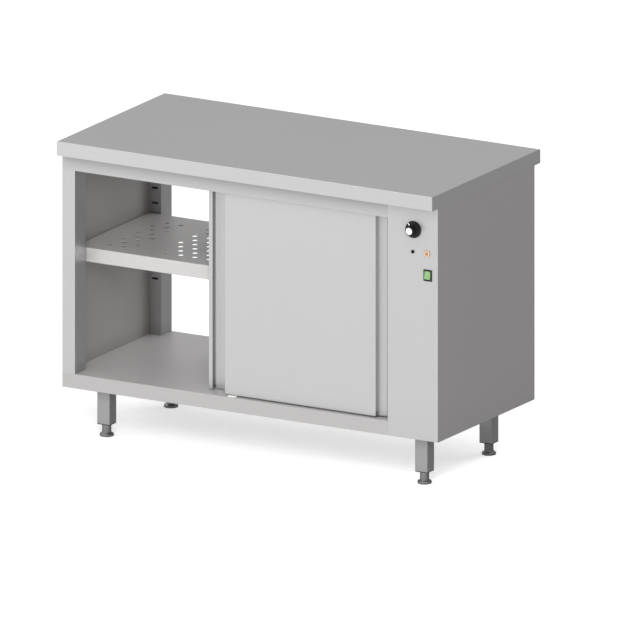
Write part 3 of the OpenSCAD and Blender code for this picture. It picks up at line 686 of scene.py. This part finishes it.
@dataclass
class Carcass:
    """The sheet metal of the body, with its worktop and its column."""

    workshop: Workshop
    screw_head_r: float = 4.25 * MM
    cross_arm: float = 2.3 * MM
    cross_half: float = 0.55 * MM
    cross_depth: float = 0.3 * MM
    cross_proud: float = 0.05 * MM
    finishes: dict[Steel, tuple[str, ...]] = field(
        default_factory=lambda: {
            Steel.TOP: ("worktop",),
            Steel.ALONG: ("front_top_rail", "rear_top_rail", "roof_panel", "shelf_brackets"),
            Steel.FLOOR: ("floor_pan", "base_crossmembers"),
            Steel.WALL: ("left_side_panel", "chamber_partition", "fan_housing"),
            Steel.SIDE: ("right_side_panel",),
            Steel.SHELF: ("shelf",),
            Steel.UPRIGHT: (
                "front_left_post",
                "rear_left_post",
                "front_shelf_strip",
                "rear_shelf_strip",
                "control_panel",
                "rear_service_panel",
            ),
        }
    )

    def build(self, nodes: dict[str, bpy.types.Object]) -> None:
        """Dresses the sheet parts.

        Args:
            nodes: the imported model's parts by name.
        """
        for choice, names in self.finishes.items():
            for name in names:
                self.workshop.dress(nodes[name], choice)
        self.workshop.dress(nodes["worktop_core"], Trim.BOARD)
        self.workshop.dress(nodes["panel_screws"], Trim.FOOT)
        self.workshop.dress(nodes["cable_gland"], Trim.BLACK)
        self.screw_recess_shade()

    def screw_recess_shade(self) -> None:
        """Adds black crosses on the heads of the rear cover's screws, painted shade that stands in for their
        cross recesses.
        """
        low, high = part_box("panel_screws")
        head = self.screw_head_r
        shape = Shape("screw_recess_shade")
        for x in (low.x + head, high.x - head):
            for z in (low.z + head, (low.z + high.z) / 2, high.z - head):
                for dx, dz in ((self.cross_arm, self.cross_half), (self.cross_half, self.cross_arm)):
                    near = Vector((x - dx, high.y - self.cross_depth, z - dz))
                    far = Vector((x + dx, high.y + self.cross_proud, z + dz))
                    shape.block(near, far)
        shape.finish("cabinet", self.workshop, Trim.BLACK, "black_plastic")


@dataclass
class Doors:
    """The four sliding doors with their hangers, rollers, tracks and guides."""

    workshop: Workshop
    places: tuple[str, ...] = ("front_outer", "front_inner", "rear_outer", "rear_inner")

    def build(self, nodes: dict[str, bpy.types.Object]) -> None:
        """Dresses the doors and their running gear.

        Args:
            nodes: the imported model's parts by name.
        """
        for place in self.places:
            self.workshop.dress(nodes[f"{place}_door"], Steel.DOOR)
            self.workshop.dress(nodes[f"{place}_hangers"], Steel.UPRIGHT)
            for side in ("left", "right"):
                self.workshop.dress(nodes[f"{place}_{side}_roller"], Trim.NYLON)
        for end in ("front", "rear"):
            self.workshop.dress(nodes[f"{end}_door_track"], Trim.ALUMINIUM)
        self.workshop.dress(nodes["door_guides"], Trim.NYLON)


@dataclass
class Undercarriage:
    """The legs with their plugs and levelling feet."""

    workshop: Workshop
    corners: tuple[str, ...] = ("front_left", "front_right", "rear_left", "rear_right")

    def build(self, nodes: dict[str, bpy.types.Object]) -> None:
        """Dresses the legs and feet.

        Args:
            nodes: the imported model's parts by name.
        """
        for corner in self.corners:
            self.workshop.dress(nodes[f"{corner}_leg"], Steel.LEG)
            self.workshop.dress(nodes[f"{corner}_foot"], Trim.FOOT)
        self.workshop.dress(nodes["leg_inserts"], Trim.BLACK)


@dataclass
class Heater:
    """The fan, its motor and the ring element."""

    workshop: Workshop

    def build(self, nodes: dict[str, bpy.types.Object]) -> None:
        """Dresses the heating parts.

        Args:
            nodes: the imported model's parts by name.
        """
        self.workshop.dress(nodes["fan_motor"], Trim.MOTOR)
        self.workshop.dress(nodes["fan_impeller"], Steel.ACROSS)
        self.workshop.dress(nodes["heating_element"], Trim.SHEATH)


@dataclass
class Controls:
    """The knob, reset, lamp and switch on the column's front plate."""

    workshop: Workshop
    mark_angle: float = math.radians(130)
    mark_start: float = 0.62
    mark_end: float = 0.93
    mark_half: float = 1.5 * MM
    mark_proud: float = 0.35 * MM
    mark_depth: float = 0.6 * MM
    skirt_setback: float = 21 * MM
    edge_round: float = 0.2 * MM
    core_half: float = 4.4 * MM
    core_front: float = 0.25 * MM
    core_back: float = 0.78 * MM
    ring_sunk: float = 0.25 * MM
    ring_radius: float = 4.4 * MM
    ring_thick: float = 0.4 * MM

    def build(self, nodes: dict[str, bpy.types.Object]) -> None:
        """Dresses the controls and adds their marks.

        Args:
            nodes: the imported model's parts by name.
        """
        finishes = {
            "thermostat": Trim.CONTROL,
            "thermostat_knob": Trim.BLACK,
            "knob_cap": Trim.CAP,
            "reset_thermostat": Trim.BLACK,
            "reset_button": Trim.BLACK,
            "pilot_lamp": Trim.ORANGE,
            "switch_frame": Trim.BLACK,
            "rocker_switch": Trim.GREEN,
        }
        for name, choice in finishes.items():
            self.workshop.dress(nodes[name], choice)
        self.index_mark()
        self.cap_ring()
        self.lamp_core()

    def index_mark(self) -> None:
        """Adds the white index line on the knob's skirt."""
        low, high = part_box("thermostat_knob")
        cap_low, cap_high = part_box("knob_cap")
        centre = (cap_low + cap_high) / 2
        skirt_r = (high.z - low.z) / 2
        face = Vector((centre.x, cap_low.y + self.skirt_setback, centre.z))
        near = Vector((self.mark_start * skirt_r, -self.mark_proud, -self.mark_half))
        far = Vector((self.mark_end * skirt_r, self.mark_depth, self.mark_half))
        turn = Matrix.Rotation(-self.mark_angle, 3, "Y")
        shape = Shape("knob_index_mark")
        made = shape.block(near, far)
        bmesh.ops.rotate(shape.bm, cent=(0, 0, 0), matrix=turn, verts=made)
        bmesh.ops.translate(shape.bm, vec=face, verts=made)
        shape.round_edges(self.edge_round)
        shape.finish("knob", self.workshop, Trim.MARK, "silver_cap")

    def cap_ring(self) -> None:
        """Adds the fine ring in the face of the knob's cap."""
        low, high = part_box("knob_cap")
        centre = Vector(((low.x + high.x) / 2, low.y, (low.z + high.z) / 2))
        shape = Shape("knob_cap_ring")
        made = bmesh.ops.create_circle(shape.bm, segments=8, radius=self.ring_thick)["verts"]
        start = centre + Vector((self.ring_radius, self.ring_sunk, 0.0))
        turn = Matrix.Rotation(math.radians(90), 3, "Y")
        bmesh.ops.translate(shape.bm, vec=start, verts=made)
        bmesh.ops.rotate(shape.bm, cent=centre, matrix=turn, verts=made)
        bmesh.ops.spin(
            shape.bm,
            geom=made + list(shape.bm.edges),
            cent=centre,
            axis=(0, 1, 0),
            angle=math.tau,
            steps=40,
            use_merge=True,
        )
        shape.finish("knob", self.workshop, Trim.RING, "silver_cap")

    def lamp_core(self) -> None:
        """Adds the darker glass in the middle of the pilot lamp."""
        low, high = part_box("pilot_lamp")
        centre = Vector(((low.x + high.x) / 2, low.y, (low.z + high.z) / 2))
        near = centre + Vector((-self.core_half, self.core_front, -self.core_half))
        far = centre + Vector((self.core_half, self.core_back, self.core_half))
        shape = Shape("lamp_core")
        shape.block(near, far)
        shape.round_edges(self.edge_round)
        shape.finish("cabinet", self.workshop, Trim.AMBER_CORE, "orange_lens")


@dataclass(frozen=True)
class Lamp:
    """A soft square lamp that points at the cabinet."""

    name: str
    spot: tuple[float, float, float]
    size: float
    watts: float

    def hang(self, target: Vector) -> None:
        """Hangs the lamp where only its light is seen.

        Args:
            target: what it points at.
        """
        data = bpy.data.lights.new(self.name, "AREA")
        data.shape = "SQUARE"
        data.size = self.size
        data.energy = self.watts
        lamp = bpy.data.objects.new(self.name, data)
        lamp.location = self.spot
        lamp.rotation_mode = "QUATERNION"
        lamp.rotation_quaternion = (target - Vector(self.spot)).to_track_quat("-Z", "Y")
        lamp.visible_glossy = False
        lamp.visible_camera = False
        bpy.context.scene.collection.objects.link(lamp)


@dataclass
class Studio:
    """Camera, floor, soft lamps and what the steel reflects.

    The levels are what mirrored rays see: the world from the left to the right of the view, an overhead
    band, and the floor in front, behind, at the front right and far at the left.
    """

    azimuth: float = math.radians(30)
    elevation: float = math.radians(15)
    frame_width: float = 1.7164
    aim_right: float = 0.0318
    aim_up: float = 0.3651
    distance: float = 6.0
    ambient: float = 0.75
    left_level: float = 0.78
    right_level: float = 0.2
    overhead: float = 2.6
    front_floor: float = 1.0
    back_floor: float = 0.3
    corner_floor: float = 0.5
    far_floor: float = 0.3
    floor_radius: float = 14.0
    floor_own: float = 0.45
    divide: tuple[float, float] = (-0.34, -0.14)
    overhead_from: tuple[float, float] = (0.5, 0.8)
    corner_across: tuple[float, float] = (0.9, 1.4)
    corner_deep: tuple[float, float] = (-0.6, -0.4)
    far_across: tuple[float, float] = (-2.3, -1.2)
    far_deep: tuple[float, float] = (-2.6, -2.2)
    lamp_aim: float = 0.45
    lamps: tuple[Lamp, ...] = (
        Lamp("key", (1.6, -3.8, 2.4), 2.0, 150.0),
        Lamp("fill", (-2.4, -3.4, 3.2), 2.6, 12.0),
        Lamp("back", (2.2, 3.2, 2.2), 2.2, 50.0),
    )

    def build(self) -> None:
        """Sets up the whole studio."""
        self.camera()
        self.world()
        self.floor()
        for lamp in self.lamps:
            lamp.hang(Vector((0.0, 0.0, self.lamp_aim)))
        bpy.context.scene.view_settings.view_transform = "Standard"

    def camera(self) -> None:
        """Places a parallel-projection camera at the photograph's viewing angle."""
        a, e = self.azimuth, self.elevation
        right = Vector((math.cos(a), math.sin(a), 0.0))
        back = Vector((math.sin(a) * math.cos(e), -math.cos(a) * math.cos(e), math.sin(e)))
        up = back.cross(right)
        data = bpy.data.cameras.new("camera")
        data.type = "ORTHO"
        data.ortho_scale = self.frame_width
        data.clip_end = 60.0
        camera = bpy.data.objects.new("camera", data)
        turn = Matrix((right, up, back)).transposed().to_4x4()
        spot = self.aim_right * right + self.aim_up * up + self.distance * back
        camera.matrix_world = Matrix.Translation(spot) @ turn
        bpy.context.scene.collection.objects.link(camera)
        bpy.context.scene.camera = camera

    def world(self) -> None:
        """Makes a background that is white to the eye, graded in reflections and soft grey as a light."""
        world = bpy.data.worlds.new("studio")
        bpy.context.scene.world = world
        world.use_nodes = True
        graph = Graph(world.node_tree)
        graph.tree.nodes.clear()
        way = graph.add("ShaderNodeTexCoord", {}, {}, "Generated")
        rightward = (math.cos(self.azimuth), math.sin(self.azimuth), 0.0)
        along = {"operation": "DOT_PRODUCT"}
        side = graph.add("ShaderNodeVectorMath", along, {0: way, 1: rightward}, "Value")
        half = (self.left_level + self.right_level) / 2
        level = half + (half - self.left_level) * side
        level = level * graph.ramp(graph.part(way, "Z"), *self.overhead_from, 1.0, self.overhead)
        soft = self._background(graph, (self.ambient,) * 3)
        mirrored = self._background(graph, level)
        lit = graph.mix(graph.ray("Is Glossy Ray"), soft, mirrored)
        seen = graph.ray("Is Camera Ray").either(graph.ray("Is Transmission Ray"))
        shown = graph.mix(seen, lit, self._background(graph, (1.0, 1.0, 1.0)))
        graph.add("ShaderNodeOutputWorld", {}, {"Surface": shown}, None)

    def _background(self, graph: Graph, colour: Sock | Colour) -> Sock:
        """Returns a background shader of some colour."""
        return graph.add("ShaderNodeBackground", {}, {"Color": colour, "Strength": 1.0})

    def floor(self) -> None:
        """Lays a pale floor that keeps the object's shadow and looks graded in reflections."""
        bm = bmesh.new()
        bmesh.ops.create_circle(bm, cap_ends=True, segments=96, radius=self.floor_radius)
        mesh = bpy.data.meshes.new("floor")
        bm.to_mesh(mesh)
        bm.free()
        floor = bpy.data.objects.new("floor", mesh)
        bpy.context.scene.collection.objects.link(floor)
        paint = bpy.data.materials.new("pale_floor")
        paint.use_nodes = True
        graph = Graph(paint.node_tree)
        graph.tree.nodes.clear()
        own = self.floor_own * graph.ray("Is Camera Ray").either(graph.ray("Is Transmission Ray"))
        glow = graph.add("ShaderNodeEmission", {}, {"Color": own, "Strength": 1.0})
        matt = graph.add("ShaderNodeBsdfDiffuse", {}, {"Color": (0.8, 0.8, 0.8)})
        both = graph.add("ShaderNodeAddShader", {}, {0: glow, 1: matt})
        mirrored = graph.add("ShaderNodeEmission", {}, {"Color": self._reflected(graph), "Strength": 1.0})
        shown = graph.mix(graph.ray("Is Glossy Ray"), both, mirrored)
        graph.add("ShaderNodeOutputMaterial", {}, {"Surface": shown}, None)
        mesh.materials.append(paint)

    def _reflected(self, graph: Graph) -> Sock:
        """Makes the floor bright in front of the cabinet, brighter at its right, and dim behind its face.

        Args:
            graph: the floor's nodes.

        Returns:
            The brightness that reflections see.
        """
        where = graph.add("ShaderNodeTexCoord", {}, {}, "Object")
        across = graph.part(where, "X")
        deep = graph.part(where, "Y")
        level = graph.ramp(deep, *self.divide, self.front_floor, self.back_floor)
        corner = graph.ramp(across, *self.corner_across, 0.0, self.corner_floor)
        corner = corner * graph.ramp(deep, *self.corner_deep, 1.0, 0.0)
        far = graph.ramp(across, *self.far_across, self.far_floor, 0.0)
        far = far * graph.ramp(deep, *self.far_deep, 1.0, 0.0)
        return level + corner + far


def main() -> None:
    """Builds the camera and studio, then each sub-assembly."""
    logging.basicConfig(level=logging.INFO, format="%(name)s: %(message)s")
    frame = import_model()
    Studio().build()
    workshop = Workshop()
    for assembly in (Carcass, Doors, Undercarriage, Heater, Controls):
        assembly(workshop).build(frame["nodes"])
        LOG.info("dressed the %s", assembly.__name__.lower())


if __name__ == "__main__":
    main()
